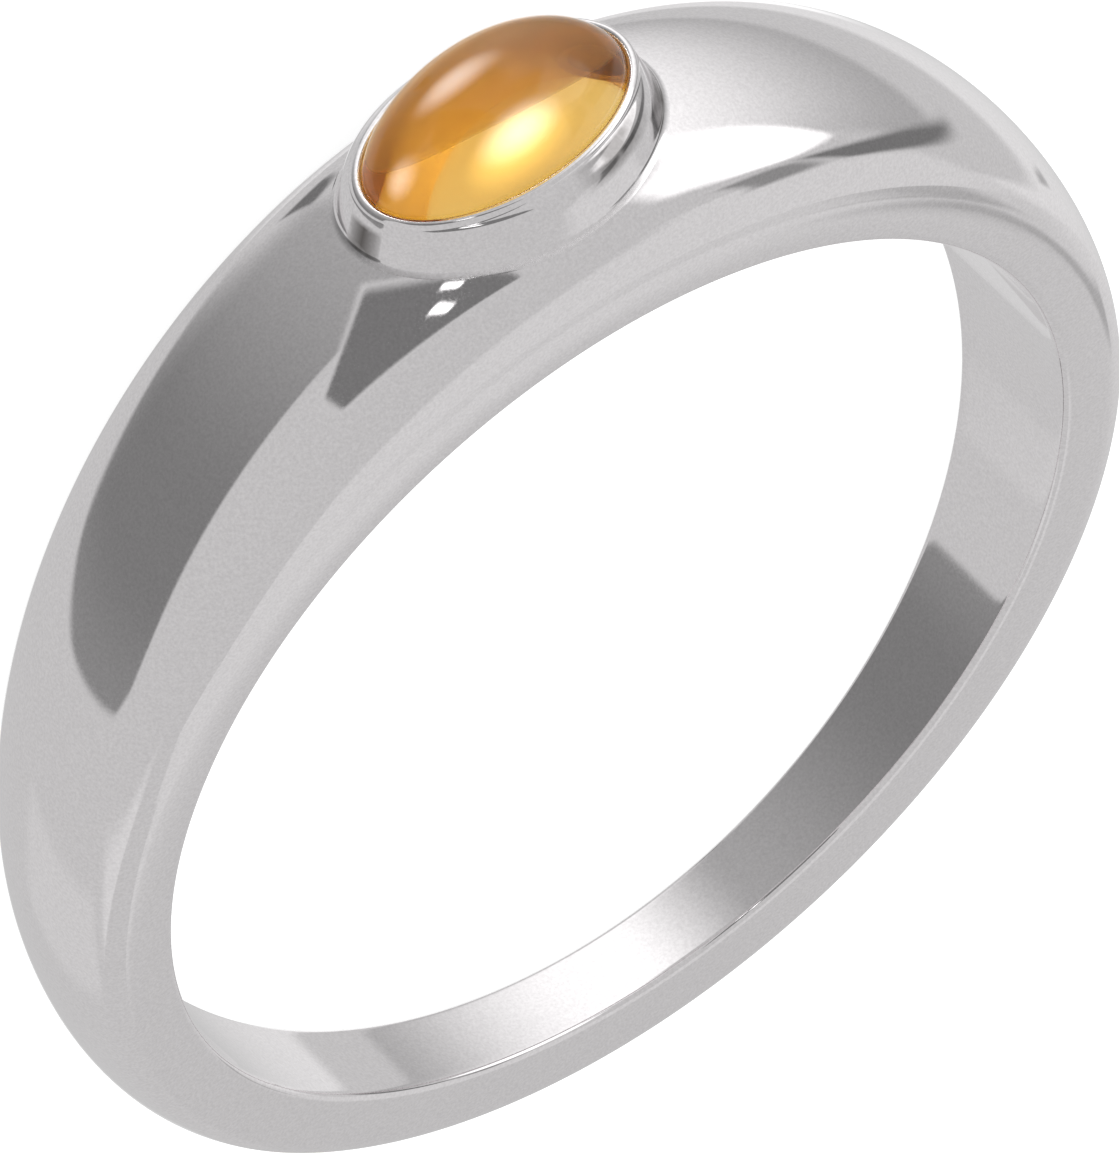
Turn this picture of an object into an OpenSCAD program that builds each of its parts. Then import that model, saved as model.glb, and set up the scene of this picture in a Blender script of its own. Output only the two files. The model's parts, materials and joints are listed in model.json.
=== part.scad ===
// Finger ring with an oval cabochon in a closed bezel.
// The ring lies on one of its flat sides. Its bore runs nearly upright and its head points along -Y.

/* [Finger] */
// Inside diameter of the ring
bore_d = 17.3; // [14:0.1:22]

/* [Band] */
// Width of the band at the top of the bore, under the stone
head_width = 4.45; // [4:0.05:5]
// Width of the band at the bottom of the bore
back_width = 1.45; // [1.2:0.05:2.5]
// Thickness of the band's crown under the stone
head_thickness = 2.78; // [2.4:0.02:2.9]
// Thickness of the band's crown at the bottom
back_thickness = 1.52; // [1.2:0.02:1.8]
// Height of the flat side wall next to the stone
head_side = 0.85; // [0.7:0.05:1.3]
// Height of the flat side wall at the bottom
back_side = 1.26; // [0.9:0.01:1.35]
// How fast the crown rises from the quarters to the stone, where a higher value is later
swell = 2.1; // [1.3:0.1:2.5]
// Fullness of the dome across the band next to the stone, where a lower value is fuller
head_fullness = 0.35; // [0.25:0.05:0.8]
// Fullness of the dome across the band at the bottom
back_fullness = 1; // [0.4:0.05:1]
// Bevel on the two edges of the bore
edge_bevel = 0.12; // [0.05:0.01:0.2]

/* [Stone] */
// Length of the stone's girdle, along the band
stone_length = 4.64; // [4.2:0.02:5]
// Width of the stone's girdle, across the band
stone_width = 2.96; // [2.6:0.02:3.2]
// Height of the straight girdle under the dome
girdle_height = 0.4; // [0.4:0.05:0.7]
// Height of the stone's dome
dome_height = 1.75; // [1.4:0.05:2.2]

/* [Setting] */
// Height of the stone's flat seat above the bore
seat_height = 2.4; // [2.1:0.05:2.4]
// Height of the bezel's rim above the bore
rim_height = 3.2; // [3.1:0.05:3.4]
// Height above the bore at which the bezel's wall is rooted in the band
root_height = 1.7; // [1.5:0.05:1.8]
// Thickness of the bezel's wall at its root
root_wall = 0.61; // [0.3:0.01:0.65]
// Thickness of the burnished rim
rim_wall = 0.17; // [0.1:0.01:0.2]
// Gap between the stone and the metal
stone_gap = 0.03; // [0.02:0.01:0.05]

/* [Hidden] */

// Steps of a true circle, of the way round the band and of the way across its dome
circle_steps = 96;
round_steps = 96;
dome_steps = 20;

bore_r = bore_d / 2;
// Half the band's width at the bore's centre, and how it grows for each millimetre towards the head
mid_half_width = (head_width + back_width) / 4;
taper_slope = (head_width - back_width) / (4 * bore_r);
taper = atan(taper_slope);
// The dome runs just past the flat sides, which cut it
dome_overrun = 0.02;
// The blank for the dome starts this far inside the bore, which cuts it too
blank_depth = 0.6;
blank_r = bore_r - blank_depth;
reach = 2 * bore_d;

seat_z = bore_r + seat_height;
girdle_z = seat_z + girdle_height;
rim_z = bore_r + rim_height;
root_z = bore_r + root_height;
stone_half = stone_length / 2;
// The share of the stone's length and width that its dome still has at the height of the rim
rim_share = sqrt(1 - pow((rim_z - girdle_z) / dome_height, 2));

// Share of the way from the bottom of the ring to its head at an angle a from the head
function headward(a) = (1 + cos(a)) / 2;

// Radius of the crown, the highest line of the dome: round at the bottom, swelling towards the head
function crown_r(a) =
    bore_r + back_thickness + (head_thickness - back_thickness) * pow(max(cos(a), 0), swell);

// Radius at which the dome starts from the flat side
function side_r(a) = bore_r + back_side + (head_side - back_side) * headward(a);

// Fullness of the dome, the power that rounds it from side to side
function fullness(a) = back_fullness + (head_fullness - back_fullness) * headward(a);

// Radius of the dome at a share s of the way from the crown's line to the flat side
function dome_r(a, s) = side_r(a) + (crown_r(a) - side_r(a)) * pow(max(1 - s * s, 0), fullness(a));

// Half the band's width at a height z above the bore's centre
function half_width(z) = mid_half_width + taper_slope * z;

// A point of the band's section at an angle a, at a radius r and a share s of the half width
function section_point(a, r, s) =
    [r * sin(a), s * (half_width(r * cos(a)) + dome_overrun), r * cos(a)];

// One section: two inner corners, then the dome from one side to the other
function section(a) = [
    section_point(a, blank_r, 1),
    section_point(a, blank_r, -1),
    for (i = [0 : dome_steps])
        let (s = -cos(180 * i / dome_steps))
        section_point(a, dome_r(a, s), s)
];

// The band's outside, swept round the finger and not yet cut by the bore and the flat sides
module dome_blank() {
    row = dome_steps + 3;
    points = [for (i = [0 : round_steps - 1]) each section(360 * i / round_steps)];
    faces = [
        for (i = [0 : round_steps - 1], j = [0 : row - 1])
            let (
                next_i = (i + 1) % round_steps,
                next_j = (j + 1) % row,
                p = i * row + j,
                q = i * row + next_j,
                r = next_i * row + next_j,
                t = next_i * row + j
            )
            each [[p, q, r], [p, r, t]]
    ];
    polyhedron(points, faces);
}

// Everything on the inner side of the flat side that faces along way, which is 1 or -1
module inside_of_side(way) {
    translate([0, way * mid_half_width, 0])
        rotate([-way * taper, 0, 0])
            translate([0, -way * reach, 0])
                cube(2 * reach, center = true);
}

// A cone that bevels the bore's edge on the flat side that faces along way
module bore_bevel(way) {
    translate([0, way * mid_half_width, 0])
        rotate([-way * taper, 0, 0])
            rotate([way * 90, 0, 0])
                translate([0, 0, -edge_bevel])
                    cylinder(
                        h = 4 * edge_bevel,
                        r1 = bore_r + 2 * edge_bevel,
                        r2 = bore_r - 2 * edge_bevel,
                        $fn = circle_steps
                    );
}

// The finger's bore
module finger_bore() {
    rotate([90, 0, 0])
        cylinder(h = reach, r = bore_r, center = true, $fn = circle_steps);
}

// Width of an oval for each millimetre of its length, where it runs a margin outside the stone's girdle
function oval_ratio(margin) = (stone_width / 2 + margin) / (stone_half + margin);

// An upright oval body from one half length at the bottom to another at the top
module oval_body(low_z, high_z, low_half, high_half, ratio) {
    translate([0, 0, low_z])
        scale([1, ratio, 1])
            cylinder(h = high_z - low_z, r1 = low_half, r2 = high_half, $fn = circle_steps);
}

// The pocket for the stone: straight at the girdle, then leaning in with the dome
module stone_pocket() {
    girdle_half = stone_half + stone_gap;
    rim_half = stone_half * rim_share + stone_gap;
    lean = (girdle_half - rim_half) / (rim_z - girdle_z);
    over = 0.5;
    meet = 0.001;
    ratio = oval_ratio(stone_gap);
    oval_body(seat_z - stone_gap, girdle_z + meet, girdle_half, girdle_half, ratio);
    oval_body(girdle_z, rim_z + over, girdle_half, rim_half - over * lean, ratio);
}

// The bezel's outside: one wall that narrows from its root in the band to the rim
module bezel_wall() {
    root_half = stone_half + stone_gap + root_wall;
    rim_half = stone_half * rim_share + stone_gap + rim_wall;
    oval_body(root_z, rim_z, root_half, rim_half, oval_ratio(stone_gap + (root_wall + rim_wall) / 2));
}

// The metal, cast as one piece: the shank, its domed head and the bezel
module metal() {
    difference() {
        union() {
            intersection() {
                dome_blank();
                inside_of_side(1);
                inside_of_side(-1);
            }
            bezel_wall();
        }
        finger_bore();
        bore_bevel(1);
        bore_bevel(-1);
        stone_pocket();
    }
}

// The stone: a flat base, a low girdle and a domed top
module stone() {
    ratio = oval_ratio(0);
    sunk = 0.01;
    oval_body(seat_z, girdle_z, stone_half, stone_half, ratio);
    intersection() {
        translate([0, 0, girdle_z])
            scale([1, ratio, dome_height / stone_half])
                sphere(r = stone_half, $fn = circle_steps);
        translate([0, 0, girdle_z + reach - sunk])
            cube(2 * reach, center = true);
    }
}

// Lays the ring on the flat side that faces away from the reader, with the bore's axis through the origin
module lie_down() {
    rotate([90 - taper, 0, 0])
        translate([0, mid_half_width, 0])
            children();
}

module band() {
    color("gainsboro")
        lie_down()
            metal();
}

module cabochon() {
    color("goldenrod")
        lie_down()
            stone();
}

band();
cabochon();
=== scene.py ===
# %% [markdown]
# A domed silver ring with a citrine cabochon.
#
# The photograph shows a polished ring with an oval stone in a closed bezel. Polished metal has no colour
# of its own to speak of: it shows its surroundings. So most of the likeness comes from two things, a
# smooth and true surface, and a studio whose light and dark panels lie in the right directions.

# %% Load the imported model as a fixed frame
import json
import math

import bmesh
import bpy
import numpy as np
from mathutils import Euler, Matrix, Vector


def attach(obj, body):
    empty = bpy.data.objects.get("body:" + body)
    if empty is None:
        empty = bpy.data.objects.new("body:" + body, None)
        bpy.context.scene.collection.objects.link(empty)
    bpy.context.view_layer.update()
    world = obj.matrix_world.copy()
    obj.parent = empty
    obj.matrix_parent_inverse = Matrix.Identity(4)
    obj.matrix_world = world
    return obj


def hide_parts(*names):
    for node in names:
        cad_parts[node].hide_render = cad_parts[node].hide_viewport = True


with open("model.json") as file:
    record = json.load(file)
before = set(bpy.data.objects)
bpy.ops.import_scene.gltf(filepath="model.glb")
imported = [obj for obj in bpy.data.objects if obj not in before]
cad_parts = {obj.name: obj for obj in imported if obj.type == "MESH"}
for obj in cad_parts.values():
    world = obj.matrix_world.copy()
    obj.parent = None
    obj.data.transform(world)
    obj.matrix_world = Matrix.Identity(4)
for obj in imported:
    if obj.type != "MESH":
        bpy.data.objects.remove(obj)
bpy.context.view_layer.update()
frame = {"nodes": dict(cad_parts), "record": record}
print("nodes:", sorted(frame["nodes"]))

# %% [markdown]
# The ring lies on one of its flat sides, so its bore is nearly upright. It is easier to think about a
# ring the way a jeweller holds it, with the bore along Y and the head up along Z. All shapes below are
# made in that ring frame, in millimetres, and one function lays them down into the frame of the model.

# %% The jeweller's frame
MM = 0.001
bore = next(m for m in frame["record"]["mounts"] if m["name"] == "finger_hole")
bore_r = bore["dims"]["r_mm"]
taper = math.asin(bore["axis"][1])
head_width = 4.45
taper_slope = math.tan(taper)
mid_half_width = head_width / 2 - taper_slope * bore_r


def lay_down(points):
    """Turns points of the ring frame, in mm, into points of the model's frame, in metres."""
    x, y, z = np.moveaxis(np.asarray(points, float), -1, 0)
    y = y + mid_half_width
    low = y * math.sin(taper) - z * math.cos(taper)
    up = y * math.cos(taper) + z * math.sin(taper)
    return np.stack([x, low, up], -1) * MM


def stand_up(points):
    """The way back, from the model's frame to the ring frame."""
    x, low, up = np.moveaxis(np.asarray(points, float) / MM, -1, 0)
    y = up * math.cos(taper) + low * math.sin(taper) - mid_half_width
    return np.stack([x, y, up * math.sin(taper) - low * math.cos(taper)], -1)


print("taper of each side: %.2f degrees" % math.degrees(taper))
print("width at the bore's centre: %.2f mm" % (2 * mid_half_width))

# %% [markdown]
# The camera comes first, because every later choice is judged through it. The picture was taken with a
# long lens from above and to the right of the head, and the camera was rolled so that the ring seems to
# stand on its back. The lens is long because the two edges of the bore look almost equally large.

# %% The camera
camera_azimuth = math.radians(23.89)
camera_elevation = math.radians(38.66)
camera_roll = math.radians(132.45)
camera_distance = 216.25
aim = Vector((-0.205, -0.374, 1.0)) * MM
back = Vector(
    (
        math.sin(camera_azimuth) * math.cos(camera_elevation),
        -math.cos(camera_azimuth) * math.cos(camera_elevation),
        math.sin(camera_elevation),
    )
)
level = Vector((0, 0, 1)).cross(back).normalized()
above = back.cross(level)
right = level * math.cos(camera_roll) + above * math.sin(camera_roll)
up = back.cross(right)

camera_data = bpy.data.cameras.new("portrait_lens")
camera_data.sensor_width = 36
camera_data.lens = 431.15
camera_data.clip_start = 0.01
camera_data.clip_end = 10
camera = bpy.data.objects.new("camera", camera_data)
camera.matrix_world = Matrix.Translation(aim + back * camera_distance * MM) @ Matrix(
    [[right[i], up[i], back[i]] for i in range(3)]
).to_4x4()
bpy.context.scene.collection.objects.link(camera)
bpy.context.scene.camera = camera
print("camera at", [round(v / MM) for v in camera.location], "mm")

# %% [markdown]
# Small tools for materials. Colours are written as the sRGB hex values that an eye compares with a
# picture, and one function turns them into the linear numbers that light is computed with. One more
# function adds a node with its settings and its links. Most sockets go by their names. The inputs of a
# Math node are numbered from 0 instead, and a Mix node has several sockets of each name, so four capital
# names stand for the numbers of those that mix colours.

# %% Helpers for materials
MIX_SHARE, MIX_FIRST, MIX_SECOND, MIXED = 0, 6, 7, 2


def hex_colour(code):
    """An sRGB hex colour as linear red, green and blue, and a full alpha."""
    channels = [int(code[i : i + 2], 16) / 255 for i in (1, 3, 5)]
    linear = [c / 12.92 if c <= 0.04045 else ((c + 0.055) / 1.055) ** 2.4 for c in channels]
    return (*linear, 1.0)


def add(tree, kind, settings=None, values=None, links=None):
    """Adds a node: settings are its own options, values its sockets' numbers, links their sources."""
    made = tree.nodes.new(kind)
    for name, value in (settings or {}).items():
        setattr(made, name, value)
    for name, value in (values or {}).items():
        made.inputs[name].default_value = value
    for name, source in (links or {}).items():
        tree.links.new(source, made.inputs[name])
    return made


def new_material(name):
    """A material with an empty tree and its output node."""
    material = bpy.data.materials.new(name)
    material.use_nodes = True
    material.node_tree.nodes.clear()
    output = add(material.node_tree, "ShaderNodeOutputMaterial")
    return material, material.node_tree, output


print("middle grey in linear light:", [round(channel, 3) for channel in hex_colour("#808080")])

# %% [markdown]
# The metal is sterling silver, cast and then polished to a mirror on a felt wheel. Silver reflects about
# nine tenths of all light, which the eye reads as white. The wheel leaves a faint ripple, wider than a
# millimetre, that bends reflections softly, and a haze of hairlines that shows only as a slight grain:
# real hairlines are finer than the 0.05 mm drawn here, but those would not show at all. Scratches could
# be drawn one by one, but noise at their size costs less and looks the same from here.

# %% Mirror-polished sterling silver
silver, tree, output = new_material("mirror_polished_sterling_silver")
ripple_mm = 1.6
hairline_mm = 0.05
position = add(tree, "ShaderNodeTexCoord").outputs["Object"]
ripple = add(
    tree,
    "ShaderNodeTexNoise",
    values={"Scale": 1 / (ripple_mm * MM), "Detail": 1.0, "Roughness": 0.4},
    links={"Vector": position},
)
hairlines = add(
    tree,
    "ShaderNodeTexNoise",
    values={"Scale": 1 / (hairline_mm * MM), "Detail": 2.0, "Roughness": 0.6},
    links={"Vector": position},
)
haze = add(
    tree,
    "ShaderNodeMapRange",
    values={"From Min": 0.3, "From Max": 0.7, "To Min": 0.03, "To Max": 0.07},
    links={"Value": hairlines.outputs["Fac"]},
)
rippled = add(
    tree,
    "ShaderNodeBump",
    values={"Strength": 0.25, "Distance": 0.004 * MM},
    links={"Height": ripple.outputs["Fac"]},
)
grained = add(
    tree,
    "ShaderNodeBump",
    values={"Strength": 0.12, "Distance": 0.0006 * MM},
    links={"Height": hairlines.outputs["Fac"], "Normal": rippled.outputs["Normal"]},
)
print("silver: ripple", ripple_mm, "mm, hairline grain", hairline_mm, "mm")

# %% [markdown]
# The solder seam, where the wheel can't reach, stays a little rough. A few places are painted darker
# too, in soft blotches: painted shade and painted dark reflections. A painted mask could say where. Here
# each point of the mesh keeps two numbers from 0 to 1 instead, because they need no unwrapping. They are
# set further down, once the bezel is there.

# %% The silver's colour and its painted shade
blotch_mm = 0.35
seam_roughness = 0.5
speckle = add(
    tree,
    "ShaderNodeMapRange",
    values={"From Min": 0.3, "From Max": 0.7},
    links={"Value": hairlines.outputs["Fac"]},
)
polished = add(
    tree,
    "ShaderNodeMix",
    {"data_type": "RGBA"},
    {MIX_FIRST: hex_colour("#EFECED"), MIX_SECOND: hex_colour("#FFFCFD")},
    {MIX_SHARE: speckle.outputs["Result"]},
)
seam = add(tree, "ShaderNodeAttribute", {"attribute_name": "seam"})
roughness = add(
    tree,
    "ShaderNodeMath",
    {"operation": "MULTIPLY_ADD"},
    {1: seam_roughness},
    {0: seam.outputs["Fac"], 2: haze.outputs["Result"]},
)
# Painted shade: where this mark is high, the silver's colour turns to a dark grey, in blotches.
painted_shade = add(tree, "ShaderNodeAttribute", {"attribute_name": "painted_shade"})
blotches = add(
    tree,
    "ShaderNodeTexNoise",
    values={"Scale": 1 / (blotch_mm * MM), "Detail": 2.0},
    links={"Vector": position},
)
patchy = add(
    tree,
    "ShaderNodeMapRange",
    values={"From Min": 0.35, "From Max": 0.55, "To Min": 0.6},
    links={"Value": blotches.outputs["Fac"]},
)
painted_shade_share = add(
    tree,
    "ShaderNodeMath",
    {"operation": "MULTIPLY"},
    links={0: painted_shade.outputs["Fac"], 1: patchy.outputs["Result"]},
)
colour = add(
    tree,
    "ShaderNodeMix",
    {"data_type": "RGBA"},
    {MIX_SECOND: hex_colour("#74706E")},
    {MIX_SHARE: painted_shade_share.outputs[0], MIX_FIRST: polished.outputs[MIXED]},
)
shader = add(
    tree,
    "ShaderNodeBsdfPrincipled",
    values={"Metallic": 1.0},
    links={
        "Base Color": colour.outputs[MIXED],
        "Roughness": roughness.outputs[0],
        "Normal": grained.outputs["Normal"],
    },
)
tree.links.new(shader.outputs["BSDF"], output.inputs["Surface"])
print("tarnish: blotches of", blotch_mm, "mm")

# %% [markdown]
# The band's shape. A goldsmith describes such a band by its section and by how the section changes on
# its way round the finger. Here the angle is 0 at the head and 180 degrees at the back. The crown is the
# highest line of the dome, the side wall is flat, and the dome rises from the one to the other with a
# fullness: a low power gives a plump dome, and a power of 1 gives a plain low arch.

# %% Sizes of the band, in mm
head_thickness = 2.78
back_thickness = 1.52
head_side = 0.85
back_side = 1.26
swell = 2.1
head_fullness = 0.35
back_fullness = 1.0


def crown_r(angle):
    """Radius of the crown."""
    rise = np.clip(np.cos(angle), 0, 1) ** swell
    return bore_r + back_thickness + (head_thickness - back_thickness) * rise


def side_r(angle):
    """Radius at which the flat side wall ends."""
    headward = (1 + np.cos(angle)) / 2
    return bore_r + back_side + (head_side - back_side) * headward


def dome_r(angle, share):
    """Radius of the dome at a share of the way from the crown to the side."""
    headward = (1 + np.cos(angle)) / 2
    fullness = back_fullness + (head_fullness - back_fullness) * headward
    arch = np.clip(1 - share**2, 0, 1) ** fullness
    return side_r(angle) + (crown_r(angle) - side_r(angle)) * arch


def half_width(z):
    """Half the band's width at a height above the bore's centre."""
    return mid_half_width + taper_slope * z


print("crown at the head: %.2f mm from the axis, at the back: %.2f mm" % (crown_r(0), crown_r(np.pi)))

# %% [markdown]
# The setting's sizes. The bezel is a wall that is filed to the stone's outline and rubbed over the
# stone's edge. It leans outwards to the foot and bends inwards just below the rim. The stone is an oval
# of about 5 by 3 mm. Heights count from the bore's axis.

# %% Sizes of the setting, in mm
stone_half = 2.4
stone_half_width = 1.43
seat_z = bore_r + 2.4
girdle_z = seat_z + 0.3
dome_height = 1.84
rim_z = bore_r + 3.2
root_z = bore_r + 1.7
gap = 0.03
rim_wall = 0.15
print("stone: %.2f by %.2f mm" % (2 * stone_half, 2 * stone_half_width))

# %% [markdown]
# The setting stands on the dome, so the dome's height over any place is needed. The dome is given as a
# radius for an angle, and the angle depends on the height that is sought. An equation solver could find
# it, but a few rounds of guessing and correcting do, because each is much nearer than the one before.

# %% The dome's height over a place
search_rounds = 30
smallest_square = 1.0


def dome_z(x, y):
    """Height of the band's dome over a place near the head."""
    z = np.full(np.shape(x), bore_r + head_side + 1.0)
    for _ in range(search_rounds):
        share = np.clip(np.abs(y) / half_width(z), 0, 1)
        radius = dome_r(np.arctan2(x, z), share)
        z = np.sqrt(np.maximum(radius**2 - np.square(x), smallest_square))
    return z


print("the dome under the stone: %.2f mm above the bore" % (dome_z(0.0, 0.0) - bore_r))

# %% [markdown]
# One section of the band. Half of its outline runs from the bore's middle over a rounded edge, up the
# side wall, over a rounded shoulder and across the dome to the crown. The flat side falls away by a
# hundredth of a millimetre towards its edges, as a polished flat does. A bevel modifier could round the
# edges, but points placed along a curve keep the mesh in even rows, which shade without a flaw.

# %% Half a section of the band
dome_samples = 400
dome_points = 60
corner_points = 14
bore_points = 8
side_points = 12
bore_edge_radius = 0.14
shoulder_reach = 0.22
side_crown = 0.012
side_margin = 0.2
side_blend = 0.3


def bent(start, corner, end, share):
    """A point of a curve that sets out towards the corner and turns smoothly to reach the end."""
    return (1 - share) ** 2 * start + 2 * share * (1 - share) * corner + share**2 * end


def half_section(angle):
    """The outline from the bore's middle to the crown, as radius and distance from the middle plane."""
    slope = taper_slope * math.cos(angle)

    def wall(radius):
        return mid_half_width + slope * radius

    t = np.sin(np.linspace(0, np.pi / 2, dome_samples))
    dome = np.stack([dome_r(angle, t), t * wall(dome_r(angle, t))], -1)
    run = np.concatenate([[0], np.cumsum(np.linalg.norm(np.diff(dome, axis=0), axis=1))])
    run = run[-1] - run
    outer = side_r(angle)
    corner = dome[-1]
    inner_low = np.array([bore_r + bore_edge_radius, wall(bore_r + bore_edge_radius)])
    inner_high = np.array([outer - shoulder_reach, wall(outer - shoulder_reach)])
    shoulder_start = np.array([np.interp(shoulder_reach, run[::-1], dome[::-1, k]) for k in (0, 1)])
    bore_end = np.array([bore_r, wall(bore_r) - bore_edge_radius])
    bore_line = np.linspace([bore_r, 0], bore_end, bore_points)[:-1]
    shares = np.linspace(0, 1, corner_points)[:, None]
    bore_edge = bent(bore_end, np.array([bore_r, wall(bore_r)]), inner_low, shares)
    side_line = np.linspace(inner_low, inner_high, side_points)[1:-1]
    shoulder = bent(inner_high, corner, shoulder_start, shares)
    far = np.linspace(np.interp(shoulder_reach, run[::-1], t[::-1]), 0, dome_points)[1:]
    rest = np.stack([dome_r(angle, far), far * wall(dome_r(angle, far))], -1)
    outline = np.concatenate([bore_line, bore_edge, side_line, shoulder, rest])
    middle = (inner_low[0] + inner_high[0]) / 2
    reach = (inner_high[0] - inner_low[0]) / 2 + side_margin
    near_side = np.clip((outline[:, 1] - wall(outline[:, 0]) + side_blend) / side_blend, 0, 1) ** 2
    outline[:, 1] -= side_crown * np.clip((outline[:, 0] - middle) / reach, -1, 1) ** 2 * near_side
    return outline


print("points in half a section:", len(half_section(0.0)))

# %% [markdown]
# The sections are swept round the finger. They crowd together towards the head, where the shape changes
# fastest. A boolean would cut the stone's pocket, but its edges spoil the smooth shading that a mirror
# needs. So the points that lie under the setting are lowered instead, inside the thickness of the
# bezel's wall, where nobody sees the step.

# %% Sweep the sections round the finger
band_steps = 420
crowding = 0.6
well_half, well_half_width = 2.55, 1.73
well_drop = 0.18
bore_cover = 1.0
t = np.linspace(0, 2 * np.pi, band_steps, endpoint=False)
angles = t - crowding * np.sin(t)
sections = []
for angle in angles:
    half = half_section(angle)
    mirrored = half[-2:0:-1] * [1, -1]
    outline = np.concatenate([half, mirrored])
    sections.append([[r * math.sin(angle), y, r * math.cos(angle)] for r, y in outline])
band_points = np.array(sections)
x, y, z = np.moveaxis(band_points, -1, 0)
under_setting = (np.hypot(x / well_half, y / well_half_width) < 1) & (z > bore_r + bore_cover)
band_points[..., 2] = np.where(under_setting, np.minimum(z, seat_z - well_drop), z)
print("points lowered under the setting:", int(under_setting.sum()))

# %% [markdown]
# A grid of points becomes a mesh when every four neighbours are joined to a face. Points that fall
# together, as in the middle of the stone's base, are welded. Smooth shading does the rest: the rows are
# close enough that no subdivision is needed. The same function makes all three pieces.

# %% Skin the band


def skin(name, points, closed_columns=True):
    """A smooth mesh over a grid of points of the ring frame. Its rows go round and close."""
    rows, columns = points.shape[:2]
    mesh = bpy.data.meshes.new(name)
    column_list = range(columns if closed_columns else columns - 1)
    faces = [
        (
            i * columns + j,
            i * columns + (j + 1) % columns,
            (i + 1) % rows * columns + (j + 1) % columns,
            (i + 1) % rows * columns + j,
        )
        for i in range(rows)
        for j in column_list
    ]
    mesh.from_pydata(lay_down(points).reshape(-1, 3).tolist(), [], faces)
    welded = bmesh.new()
    welded.from_mesh(mesh)
    bmesh.ops.remove_doubles(welded, verts=welded.verts, dist=1e-5 * MM)
    welded.to_mesh(mesh)
    welded.free()
    mesh.shade_smooth()
    made = bpy.data.objects.new(name, mesh)
    bpy.context.scene.collection.objects.link(made)
    return made


band = skin("polished_band", band_points)
band.data.materials.append(silver)
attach(band, "root")
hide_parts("band")
print("band:", len(band.data.polygons), "faces")

# %% [markdown]
# The bezel. Its profile runs from the middle of the pocket's floor, up inside the wall, over the rubbed
# lip, round the bend, down the leaning wall and out onto the band in a small fillet of solder. It could
# be turned with a modifier if it were round, but it is an oval on a dome, so it is built as a list of
# rings of points. The first rings are the pocket: its floor and its straight wall, a hair wider than the
# stone.

# %% The pocket
bezel_steps = 360
floor_shares = (0, 0.3, 0.6, 0.9, 1)
pocket_points = 5
phi = np.linspace(0, 2 * np.pi, bezel_steps, endpoint=False)


def ring_of(half, width, z):
    """A level oval ring of points."""
    return np.stack([half * np.cos(phi), width * np.sin(phi), np.full(bezel_steps, z)], -1)


floor_z = seat_z - gap
pocket_half, pocket_half_width = stone_half + gap, stone_half_width + gap
rings = [ring_of(pocket_half * s, pocket_half_width * s, floor_z) for s in floor_shares]
pocket_heights = np.linspace(floor_z, girdle_z, pocket_points)[1:]
rings += [ring_of(pocket_half, pocket_half_width, z) for z in pocket_heights]
print("rings in the pocket:", len(rings))

# %% [markdown]
# The lip. The jeweller rubs the wall's rim over the stone with a burnisher, which rounds it: here it is
# a half circle across the rim's width. A stone that is set by hand never sits quite true, and its rim
# goes with it, so both are turned by two degrees and lean by one and a half each way. One could leave
# that out, but the eye sees at once when a thing is too true.

# %% The rubbed lip
lip_points = 16
lip_reach = 0.022
lean_across, lean_along, turned = -1.5, 1.5, 2.0
rim_share = math.sqrt(1 - ((rim_z - girdle_z) / dome_height) ** 2)
rim_half = stone_half * rim_share + gap
rim_half_width = (stone_half_width + gap) / (stone_half + gap) * rim_half


def between(start, end, share):
    """The point at a share of the way, for every angle round the stone."""
    return start + (end - start) * np.reshape(share, (-1, 1))


def settle(points, back=False):
    """Leans and turns points of the stone and its rim, or brings such points back to where they were."""
    lean = Euler([math.radians(angle) for angle in (lean_across, lean_along, turned)]).to_matrix()
    pivot = np.array([0, 0, rim_z])
    return (np.asarray(points) - pivot) @ np.array(lean if back else lean.transposed()) + pivot


inner = ring_of(rim_half - lip_reach, rim_half_width - lip_reach, rim_z)
outer = ring_of(rim_half + rim_wall, rim_half_width + rim_wall, rim_z)
lip_r = np.linalg.norm(outer - inner, axis=1) / 2
for roll in np.linspace(-np.pi / 2, np.pi / 2, lip_points):
    drop = lip_r[:, None] * (math.cos(roll) - 1) * np.array([0, 0, 1])
    rings.append(between(inner, outer, (1 + math.sin(roll)) / 2) + drop)

rings = [settle(ring) for ring in rings]
print("opening inside the lip: %.2f by %.2f mm" % (2 * rim_half, 2 * rim_half_width))

# %% [markdown]
# The wall. It leans outwards in a straight line to its foot, and the burnisher has bent its upper half
# millimetre inwards. The bend is a short curve from the lip's outer edge into the straight wall. Without
# it the wall would mirror one even tone, where the photograph shows it darken under the rim.

# %% The bend and the leaning wall
bend_points = 9
bend_corner, bend_depth = 0.2, 0.45
outer_ratio = 0.6946
root_half = 2.98
wall_top_half = 2.453


def wall_ring(z):
    """The straight leaning wall's outline at a height."""
    half = wall_top_half + (root_half - wall_top_half) * (rim_z - z) / (rim_z - root_z)
    return ring_of(half, half * outer_ratio, z)


lip_end = rings[-1]
corner, below = wall_ring(rim_z - bend_corner), wall_ring(rim_z - bend_depth)
rings += [bent(lip_end, corner, below, s) for s in np.linspace(0, 1, bend_points)[1:]]
print("the bend ends %.2f mm below the rim" % bend_depth)

# %% [markdown]
# The foot. The line where the wall meets the dome is found by halving: whether a point of the wall is
# above the dome or in it says which half of the wall holds the line. A small fillet of solder then leads
# out onto the dome. It ends a thousandth of a millimetre inside it, so that no gap shows.

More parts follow.
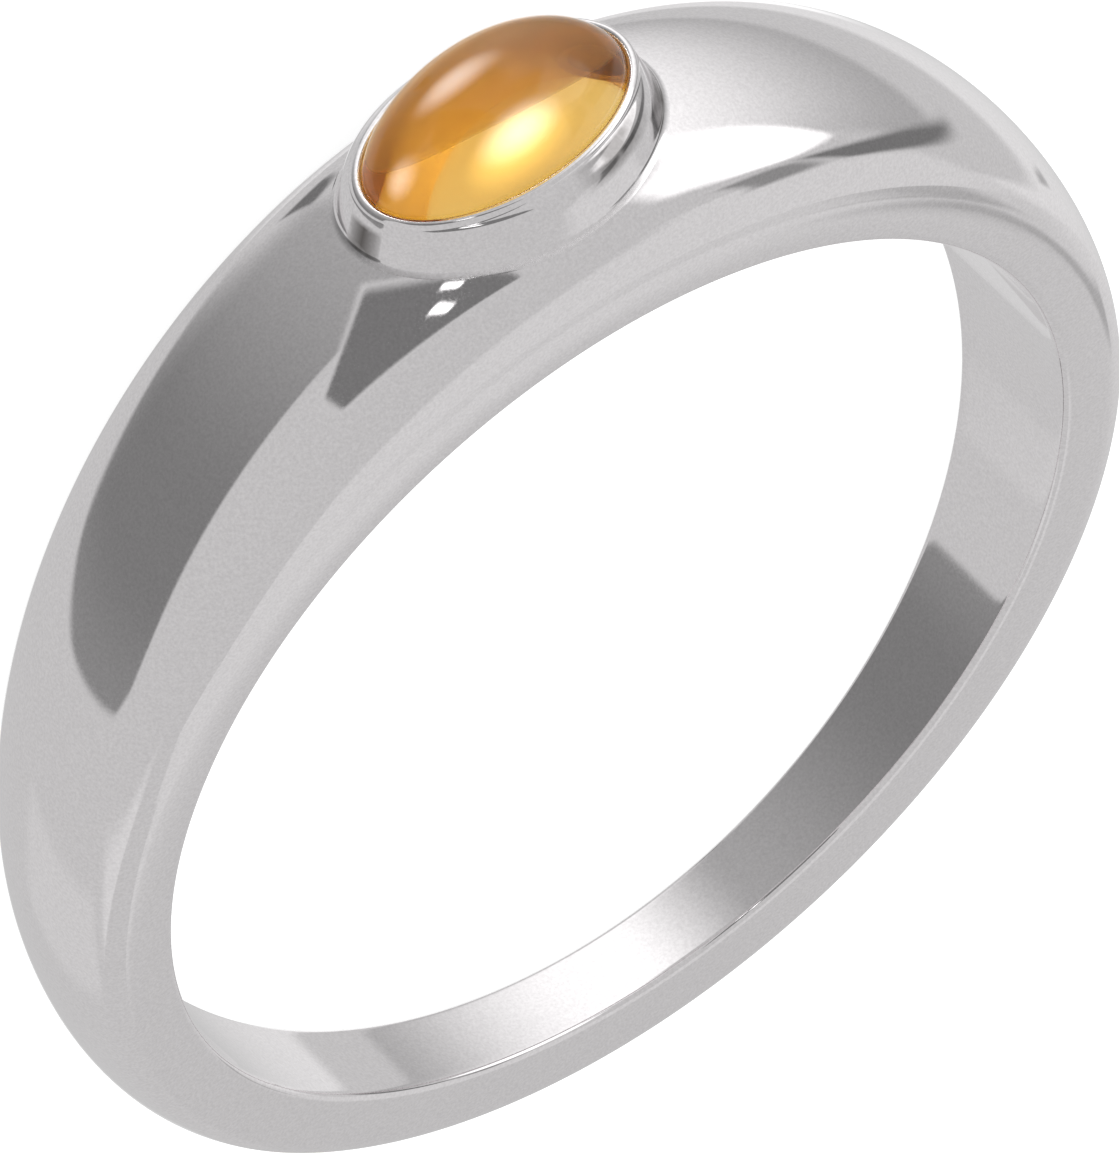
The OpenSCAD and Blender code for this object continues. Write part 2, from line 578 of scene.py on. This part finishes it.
# %% The foot and its fillet
wall_points = 12
fillet_points = 16
fillet_reach = 0.1
fillet_most = 0.7
sunk = 0.0008
root = wall_ring(root_z)
near, far = np.zeros(bezel_steps), np.ones(bezel_steps)
for _ in range(search_rounds):
    half_way = (near + far) / 2
    probe = between(below, root, half_way)
    is_above = probe[:, 2] > dome_z(probe[:, 0], probe[:, 1])
    near, far = np.where(is_above, half_way, near), np.where(is_above, far, half_way)
foot = between(below, root, near)
wall_length = np.linalg.norm(foot - below, axis=1)
fillet = np.minimum(fillet_reach, wall_length * fillet_most)
start = between(foot, below, fillet / wall_length)
outward = np.stack([np.cos(phi) * outer_ratio, np.sin(phi)], -1)
outward /= np.linalg.norm(outward, axis=1)[:, None]
end_place = foot[:, :2] + outward * fillet[:, None]
end = np.column_stack([end_place, dome_z(*end_place.T) - sunk])
wall_shares = np.linspace(0, 1, wall_points)[1:-1]
rings += [between(below, start, np.full(bezel_steps, s)) for s in wall_shares]
rings += [bent(start, foot, end, s) for s in np.linspace(0, 1, fillet_points)]
print("foot: %.2f mm above the bore at the stone's end" % (foot[0, 2] - bore_r))

# %% Join the rings to the bezel
bezel = skin("rubbed_bezel", np.stack(rings, 1), closed_columns=False)
bezel.data.materials.append(silver)
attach(bezel, "root")
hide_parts("band")
print("bezel:", len(bezel.data.polygons), "faces")

# %% [markdown]
# The pocket and the lip's underside are left as they were cast, matt and finely pitted, because nobody
# polishes what a stone will cover. A clear stone shows them all the same: a mirror there would throw
# hard dark streaks through the stone, and the matt metal gives the soft brown zone in its upper half
# instead.

# %% Silver left as cast, in the pocket
cast_silver, tree, output = new_material("silver_left_as_cast")
pit_mm = 0.08
pits = add(
    tree,
    "ShaderNodeTexNoise",
    values={"Scale": 1 / (pit_mm * MM), "Detail": 3.0},
    links={"Vector": add(tree, "ShaderNodeTexCoord").outputs["Object"]},
)
pitted = add(
    tree,
    "ShaderNodeBump",
    values={"Strength": 0.4, "Distance": 0.004 * MM},
    links={"Height": pits.outputs["Fac"]},
)
shader = add(
    tree,
    "ShaderNodeBsdfPrincipled",
    values={"Base Color": hex_colour("#FFF0DA"), "Metallic": 1.0, "Roughness": 0.5},
    links={"Normal": pitted.outputs["Normal"]},
)
tree.links.new(shader.outputs["BSDF"], output.inputs["Surface"])
bezel.data.materials.append(cast_silver)
print("cast silver: pits of", pit_mm, "mm")

# %% Leave the hidden faces as cast
lip_cover = 0.02
pocket_edge = 1.001
left_as_cast = 0
for face in bezel.data.polygons:
    x, y, z = settle(stand_up(face.center), back=True)
    under_lip = math.hypot(x / (rim_half + lip_cover), y / (rim_half_width + lip_cover)) < 1
    in_pocket = math.hypot(x / pocket_half, y / pocket_half_width) < pocket_edge and z < girdle_z
    if under_lip or in_pocket:
        face.material_index = 1
        left_as_cast += 1
print("faces left as cast:", left_as_cast)

# %% [markdown]
# The marks of handwork and the painted shade come last. The solder seam round the foot is a little
# rough at the front. A place round the stone is an angle in degrees: 0 is the stone's end along X, and
# 90 is the side that lies up and faces the camera. The outside of the wall starts at a share of the
# pocket's outline.

# %% Mark the rough seam
wall_start = 1.03
seam_width = 0.03
seam_peak = 1.6
seam_end, seam_fade = 128, 15


def within(value, middle, reach, peak=1.0):
    """1 at a middle value and 0 away from it. A peak of 1 ends at the reach, and a higher one is wider."""
    return np.clip(peak - np.abs(value - middle) / reach, 0, 1)


def past(value, reach):
    """0 up to a value of 0, and 1 from the reach on."""
    return np.clip(value / reach, 0, 1)


def mark(name, values):
    """Keeps a number on every point of the bezel, for the material to read."""
    bezel.data.attributes.new(name, "FLOAT", "POINT").data.foreach_set("value", values)


corners = stand_up([point.co for point in bezel.data.vertices])
x, y, z = np.moveaxis(corners, -1, 0)
around = np.degrees(np.arctan2(y / root_half / outer_ratio, x / root_half))
foot_around = np.degrees(np.arctan2(np.sin(phi), np.cos(phi)))
above_foot = z - np.interp(around, foot_around, foot[:, 2], period=360)
on_wall = np.hypot(x / pocket_half, y / pocket_half_width) > wall_start
in_front = past(around, seam_fade) * past(seam_end - around, seam_fade)
on_seam = within(above_foot, 0, seam_width, seam_peak) * on_wall * in_front
mark("seam", on_seam)
print("points on the rough seam:", int((on_seam > 0).sum()))

# %% [markdown]
# Painted shade lies in the two crooks where the wall meets the dome near the stone's ends, as painted
# dark reflections. It also lies in one spot under the rim, and as a thin painted shadow where the lip
# meets the stone. A crook's top is its height above the bore in mm, and a low power makes its patch
# more even. The bend starts at a share of the rim's outline.

# %% Mark the painted shade
first_crook = {"at": 5, "reach": 11, "power": 0.5, "top": 2.9}
second_crook = {"at": 159, "reach": 20, "power": 0.3, "top": 2.78}
crook_softness = 0.08
clear_of_foot = 0.02
crook_top = bore_r + np.where(x > 0, first_crook["top"], second_crook["top"])
low_on_wall = past(crook_top - z, crook_softness) * np.clip(above_foot / clear_of_foot - 1, 0, 1)
places = [within(around, c["at"], c["reach"]) ** c["power"] for c in (first_crook, second_crook)]
in_crooks = low_on_wall * np.maximum(*places) * on_wall

lip_line = 0.012
lip_depth = 0.2
broad_peak = 1.5
x, y, z = np.moveaxis(settle(corners, back=True), -1, 0)
from_stone = np.hypot(x / rim_half, y / rim_half_width)
at_lip = within(from_stone, 1, lip_line, broad_peak) * (z > rim_z - lip_depth)

bend_start = 1.01
bend_spot_low, bend_spot_fade = 0.5, 0.15
bend_spot_at, bend_spot_reach = 120, 16
bend_spot_darkness = 0.7
past_lip = np.hypot(x / (rim_half + rim_wall), y / (rim_half_width + rim_wall)) > bend_start
on_bend = past_lip * past(z - rim_z + bend_spot_low, bend_spot_fade)
on_bend_spot = on_bend * within(around, bend_spot_at, bend_spot_reach, broad_peak)
# At each point the painted shade takes the largest of the three marks.
painted_shade_mask = np.maximum(np.maximum(in_crooks, bend_spot_darkness * on_bend_spot), at_lip)
mark("painted_shade", painted_shade_mask)
print("points with tarnish:", int((painted_shade_mask > 0).sum()))

# %% [markdown]
# The stone is a cabochon: a flat base, a low straight girdle and a domed top with no facets. Its outline
# goes from the top down to the middle of the base, as shares of the half length and as heights in mm,
# and the same outline goes round the oval.

# %% Build the stone
stone_steps = 192
base_edge = 0.02
dome_turns = np.linspace(0, np.pi / 2, 64)
edge_turns = np.linspace(0, np.pi / 2, 5)
girdle_shares = np.linspace(0.9, 0.1, 6)
base_shares = np.linspace(0.96, 0, 8)
outline = [[math.sin(a), girdle_z - seat_z + dome_height * math.cos(a)] for a in dome_turns]
outline += [[1.0, height] for height in girdle_shares * (girdle_z - seat_z)]
outline += [[1 - base_edge * (1 - math.cos(a)), base_edge * (1 - math.sin(a))] for a in edge_turns]
outline += [[s, 0.0] for s in base_shares]
share, height = np.array(outline).T
angles = np.linspace(0, 2 * np.pi, stone_steps, endpoint=False)[:, None]
stone_points = np.stack(
    [
        stone_half * share * np.cos(angles),
        stone_half_width * share * np.sin(angles),
        np.broadcast_to(seat_z + height, (stone_steps, len(height))),
    ],
    -1,
)
stone = skin("citrine_cabochon", settle(stone_points), closed_columns=False)
print("stone:", len(stone.data.polygons), "faces")

# %% [markdown]
# The stone is citrine, a golden quartz. Quartz bends light with an index of 1.544. Its colour is in its
# depth, so it comes from a volume that absorbs blue most and green a little, not from the surface: thin
# places are pale gold and long paths through the stone turn brown. A twelfth of the light meets a milky
# orange instead, for the fine inclusions that keep such a stone from being as clear as glass.

# %% Polished citrine
quartz_index = 1.544
milky_share = 0.08
citrine, tree, output = new_material("polished_citrine")
clear = add(
    tree,
    "ShaderNodeBsdfPrincipled",
    values={
        "Base Color": hex_colour("#FFFFFF"),
        "IOR": quartz_index,
        "Roughness": 0.0,
        "Transmission Weight": 1.0,
    },
)
milky = add(
    tree,
    "ShaderNodeBsdfPrincipled",
    values={"Base Color": hex_colour("#FFB46C"), "IOR": quartz_index, "Roughness": 0.0},
)
shader = add(
    tree,
    "ShaderNodeMixShader",
    values={"Fac": milky_share},
    links={1: clear.outputs["BSDF"], 2: milky.outputs["BSDF"]},
)
tint = add(
    tree,
    "ShaderNodeVolumeAbsorption",
    values={"Color": hex_colour("#F6DC00"), "Density": 640.0},
)
tree.links.new(shader.outputs["Shader"], output.inputs["Surface"])
tree.links.new(tint.outputs["Volume"], output.inputs["Volume"])
stone.data.materials.append(citrine)
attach(stone, "root")
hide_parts("cabochon")
print("citrine: index", quartz_index, "and a milky share of", milky_share)

# %% [markdown]
# The studio. A product photographer puts small jewellery in a white tent and then blocks parts of it
# with grey cards, because a mirror in an all-white tent would have no shape. The tent here is a glowing
# ball of cloth, 90 mm from the ring. It could be a picture on the world, endlessly far away, but then
# both ends of the ring would see the same directions, and the photograph shows that they don't.

# %% The light tent
tent_radius = 90
tent_mesh = bpy.data.meshes.new("light_tent")
ball = bmesh.new()
bmesh.ops.create_uvsphere(ball, u_segments=128, v_segments=64, radius=1)
ball.to_mesh(tent_mesh)
ball.free()
light_tent = bpy.data.objects.new("light_tent", tent_mesh)
light_tent.scale = [tent_radius * MM] * 3
light_tent.visible_camera = False
light_tent.visible_diffuse = False
light_tent.visible_shadow = False
bpy.context.scene.collection.objects.link(light_tent)
print("tent:", tent_radius, "mm from the ring")

# %% [markdown]
# The cloth glows, and its brightness depends on direction alone. A direction is given by its azimuth and
# its elevation in degrees. Azimuth 0 is the side that the head points to and 90 is to the right of it.

# %% Directions in the tent
cloth, tree, output = new_material("tent_cloth")
cloth.cycles.emission_sampling = "NONE"
place = add(tree, "ShaderNodeTexCoord").outputs["Object"]
normalize = add(tree, "ShaderNodeVectorMath", {"operation": "NORMALIZE"}, links={0: place})
direction = normalize.outputs["Vector"]
axes = add(tree, "ShaderNodeSeparateXYZ", links={"Vector": direction})
toward_head = add(
    tree,
    "ShaderNodeMath",
    {"operation": "MULTIPLY"},
    {1: -1.0},
    {0: axes.outputs["Y"]},
)
turn = add(
    tree,
    "ShaderNodeMath",
    {"operation": "ARCTAN2"},
    links={0: axes.outputs["X"], 1: toward_head.outputs[0]},
)
azimuth = add(tree, "ShaderNodeMath", {"operation": "DEGREES"}, links={0: turn.outputs[0]}).outputs[0]
lift = add(tree, "ShaderNodeMath", {"operation": "ARCSINE"}, links={0: axes.outputs["Z"]})
elevation = add(tree, "ShaderNodeMath", {"operation": "DEGREES"}, links={0: lift.outputs[0]}).outputs[0]
bearing = add(tree, "ShaderNodeCombineXYZ", links={"X": azimuth, "Y": elevation}).outputs[0]
print("directions run from azimuth -180 to 180 and from elevation -90 to 90 degrees")

# %% [markdown]
# A few tools hang things in the tent. A fade is a soft step from one number to another. A card is a
# flat shape with straight sides: it covers a direction that lies inside each of its sides, and each side
# is as soft as wanted. Laying over puts a card on what is there already. A lamp is a soft round spot.

# %% Tools for hanging lights and cards


def fade(source, start, end, low=0.0, high=1.0):
    """A soft step of a number from low at start to high at end."""
    return add(
        tree,
        "ShaderNodeMapRange",
        {"interpolation_type": "SMOOTHSTEP"},
        {"From Min": start, "From Max": end, "To Min": low, "To Max": high},
        {"Value": source},
    ).outputs["Result"]


def product(sources):
    """The product of several numbers."""
    result = sources[0]
    for source in sources[1:]:
        links = {0: result, 1: source}
        result = add(tree, "ShaderNodeMath", {"operation": "MULTIPLY"}, links=links).outputs[0]
    return result


def card(corners, softness):
    """How much of a card lies in a direction. Its corners go round clockwise, as azimuth and elevation."""
    sides = []
    softnesses = softness if isinstance(softness, list) else [softness] * len(corners)
    for start, end, blur in zip(corners, corners[1:] + corners[:1], softnesses):
        along = Vector(end) - Vector(start)
        inward = Vector((along.y, -along.x)).normalized()
        reach = add(
            tree,
            "ShaderNodeVectorMath",
            {"operation": "DOT_PRODUCT"},
            {1: (*inward, 0)},
            {0: bearing},
        ).outputs["Value"]
        line = inward.dot(Vector(start))
        sides.append(fade(reach, line - blur, line + blur))
    return product(sides)


def lay_over(below, brightness, cover):
    """Lays a card over the tent. Its brightness is a number or a source."""
    mixed = add(tree, "ShaderNodeMix", {"data_type": "FLOAT"}, links={"A": below, "Factor": cover})
    if isinstance(brightness, float):
        mixed.inputs["B"].default_value = brightness
    else:
        tree.links.new(brightness, mixed.inputs["B"])
    return mixed.outputs["Result"]


def lamp(centre, core, reach):
    """How much of a soft round lamp lies in a direction, whole within its core and gone at its reach."""
    turn, lift = (math.radians(angle) for angle in centre)
    toward = (math.sin(turn) * math.cos(lift), -math.cos(turn) * math.cos(lift), math.sin(lift))
    nearness = add(
        tree,
        "ShaderNodeVectorMath",
        {"operation": "DOT_PRODUCT"},
        {1: toward},
        {0: direction},
    ).outputs["Value"]
    away = add(tree, "ShaderNodeMath", {"operation": "ARCCOSINE"}, links={0: nearness})
    return fade(away.outputs[0], math.radians(core), math.radians(reach), 1.0, 0.0)


print("tools for the tent: fade, product, card, lay_over and lamp")

# %% [markdown]
# The tent's cloth is an even light grey with some brighter and darker folds behind the ring. A big
# window on the left gives the white shoulder and the white light inside the bore. A grey board on the
# right gives the dark left shoulder, and a darker shape, where the camera stands, gives the dark
# triangle below the setting.
#
# Each card below has a name, a brightness, the softness of its sides in degrees, and its corners. A
# brightness of 1 is white in the picture. Later cards lie over earlier ones.

# %% Hang the windows and the cards
side_light = fade(azimuth, -165, -108, 0.55, 0.77)
low_window = product([fade(azimuth, -90, -26, 0.42, 1.15), fade(azimuth, -22, 2, 1.0, 0.5)])
board = product(
    [
        fade(azimuth, 4, 60, 0.39, 0.205),
        fade(azimuth, 72, 92, 1.0, 1.25),
        fade(elevation, -78, -50, 1.5, 1.0),
    ]
)
hangings = {
    "cloth behind on the left": (
        side_light,
        [14, 10, 3, 14],
        [(-181, -90), (-181, 24), (-118, 26), (-96, -90)],
    ),
    "bright fold behind, high up": (0.66, 4, [(-181, 26), (-181, 62), (-100, 62), (-100, 26)]),
    "bright fold behind, low down": (0.66, 5, [(-181, -45), (-181, -28), (-156, -28), (-156, -45)]),
    "bright fold on the right, low": (0.63, 3, [(121, -38), (121, -5), (139, -5), (143, -38)]),
    "bright fold on the right, high": (0.69, 5, [(112, 4), (114, 38), (134, 34), (134, 4)]),
    "low light on the left": (1.2, 3, [(-151, -60), (-145, -44), (-122, -42), (-119, -57)]),
    "low light behind": (1.1, 4, [(-181, -52), (-181, -48), (-152, -50), (-152, -60)]),
    "low window": (
        low_window,
        [2.5, 3, 6, 8, 12],
        [(-80, -60), (-93, 2), (-88, 16), (-6, 16), (8, -50)],
    ),
    "cloth beside the low window": (0.52, 5, [(-16, -22), (-20, 14), (10, 16), (10, -22)]),
    "high window": (
        1.3,
        [2, 3, 4, 4, 3, 3, 2],
        [(-76, 21), (-79, 40), (-73, 47), (-50, 48), (-36, 36), (-40, 5), (-58, 10)],
    ),
    "dark strip over the high window": (
        0.27,
        [3, 1.5, 4, 3],
        [(-98, 42), (-113, 52.5), (-82, 54), (-84, 42)],
    ),
    "dark strip beside the high window": (
        0.18,
        2.5,
        [(-96, -8), (-98, 38), (-83, 40), (-87, 12)],
    ),
    "board": (
        board,
        [6, 1, 1, 1, 1, 1, 2, 4, 6],
        [
            (2, -85),
            (2, 4),
            (34, 4),
            (80, 2),
            (88, 0),
            (92.5, -5),
            (93, -34),
            (86, -54),
            (60, -72),
        ],
    ),
    "light border of the figure": (
        0.6,
        1.2,
        [(15, -12), (8, 3), (-9, 40), (-12, 54), (8, 46.5), (36, 38), (35.5, 17)],
    ),
    "figure at the camera": (
        0.187,
        [0.8, 0.8, 2, 2, 1.2, 0.8, 0.8],
        [(15, -9.5), (8, 4), (-8, 43), (-14, 56), (8, 45.5), (35, 37), (33.5, 16)],
    ),
    "dark gap at the ground": (0.17, 2, [(-24, -76), (-4, -64), (3, -62), (4, -75)]),
    "grey seam behind": (0.42, 1.5, [(-152, 27), (-147, 27), (-137, 12), (-141, 10)]),
    "grey seam on the left": (
        0.45,
        0.9,
        [(-117, 22), (-113.5, 22), (-115, -14), (-123, -29), (-126, -29), (-118, -14)],
    ),
}
tent = fade(elevation, -20, 90, 0.575, 0.56)
for brightness, softness, corners in hangings.values():
    tent = lay_over(tent, brightness, card(corners, softness))
print("hung in the tent:", ", ".join(hangings))

# %% [markdown]
# Two small lamps give the two bright marks in the dark triangle. The stone needs lamps of its own. Three
# give the soft highlights on its dome, and one lights it from behind, for the white heart of the golden
# zone. A photographer would shade the metal from them with small flags. Here the kind of ray does it:
# only the perfectly smooth stone sends out singular or transmitted rays, so only the stone meets them.
#
# The world outside the tent is plain white. It lights the floor and the milky part of the stone, whose
# scattered light doesn't see the tent.

# %% Add the lamps and light the tent
off_stone = lay_over(tent, 8.5, lamp((-1, -30), 2, 27))
off_stone = lay_over(off_stone, 7.5, lamp((66, 4), 1, 26))
off_stone = lay_over(off_stone, 13.0, lamp((-30, 62), 0, 28))
through_stone = lay_over(fade(elevation, 20, 70, 1.0, 1.6), 2.4, lamp((-13, -14), 0, 17))
tent = lay_over(tent, 3.0, card([(9.2, 24.5), (6.8, 33.5), (8.6, 35), (11.5, 26)], 1.2))
tent = lay_over(tent, 3.0, card([(6.2, 16.5), (3.2, 24), (4.4, 25), (7.2, 18)], 0.9))
ray = add(tree, "ShaderNodeLightPath")
tent = lay_over(tent, off_stone, ray.outputs["Is Singular Ray"])
tent = lay_over(tent, through_stone, ray.outputs["Is Transmission Ray"])

glow = add(tree, "ShaderNodeEmission", links={"Strength": tent})
tree.links.new(glow.outputs["Emission"], output.inputs["Surface"])
light_tent.data.materials.append(cloth)

world = bpy.data.worlds.new("white_room")
bpy.context.scene.world = world
world.use_nodes = True
world.node_tree.nodes["Background"].inputs["Color"].default_value = (1, 1, 1, 1)
world.cycles.sampling_method = "NONE"
print("tent:", len(tree.nodes), "nodes")

# %% [markdown]
# The floor is a sheet of white acrylic that is lit from below, the usual ground for a white picture. It
# doesn't show in the metal: the mirror image of the studio goes on below the horizon, as it does for a
# ring on a wire above the sheet.

# %% The floor
acrylic, tree, output = new_material("white_acrylic_sheet")
shader = add(
    tree,
    "ShaderNodeBsdfPrincipled",
    values={
        "Base Color": hex_colour("#B4B4B4"),
        "Roughness": 0.6,
        "Specular IOR Level": 0.0,
        "Emission Color": hex_colour("#FFFFFF"),
        "Emission Strength": 0.92,
    },
)
tree.links.new(shader.outputs["BSDF"], output.inputs["Surface"])
half_floor = 3.0
below_ring = -0.00001
floor_mesh = bpy.data.meshes.new("floor")
floor_corners = [(x, y, below_ring) for x, y in ((-1, -1), (1, -1), (1, 1), (-1, 1))]
floor_mesh.from_pydata(floor_corners, [], [(0, 1, 2, 3)])
floor = bpy.data.objects.new("floor", floor_mesh)
floor.scale = (half_floor, half_floor, 1)
floor.data.materials.append(acrylic)
floor.visible_glossy = False
floor.visible_transmission = False
bpy.context.scene.collection.objects.link(floor)
print("floor:", 2 * half_floor, "m across")

# %% [markdown]
# A broad soft light from above gives the ring a faint shadow to rest on. An area lamp would do as well,
# but a sun with a wide angle lights the whole floor evenly.

# %% The soft light from above
sky_data = bpy.data.lights.new("overhead_softbox", "SUN")
sky_data.energy = 0.4
sky_data.angle = math.radians(70)
sky = bpy.data.objects.new("overhead_softbox", sky_data)
sky.rotation_euler = (math.radians(15), 0, 0)
sky.visible_glossy = False
bpy.context.scene.collection.objects.link(sky)
print("soft light:", round(math.degrees(sky_data.angle)), "degrees wide")

# %% [markdown]
# Some settings say how light is followed. The plain view transform keeps the tent's brightnesses as they
# are given. Light that reaches the milky part of the stone through its surface counts as a caustic, so
# refractive caustics stay on. The many bounces are for rays that go to and fro in the bore and the stone.

# %% The view and the bounces of light
scene = bpy.context.scene
scene.view_settings.view_transform = "Standard"
scene.cycles.caustics_reflective = False
scene.cycles.caustics_refractive = True
scene.cycles.max_bounces = 24
scene.cycles.glossy_bounces = 24
scene.cycles.transmission_bounces = 24
print("light bounces:", scene.cycles.max_bounces)
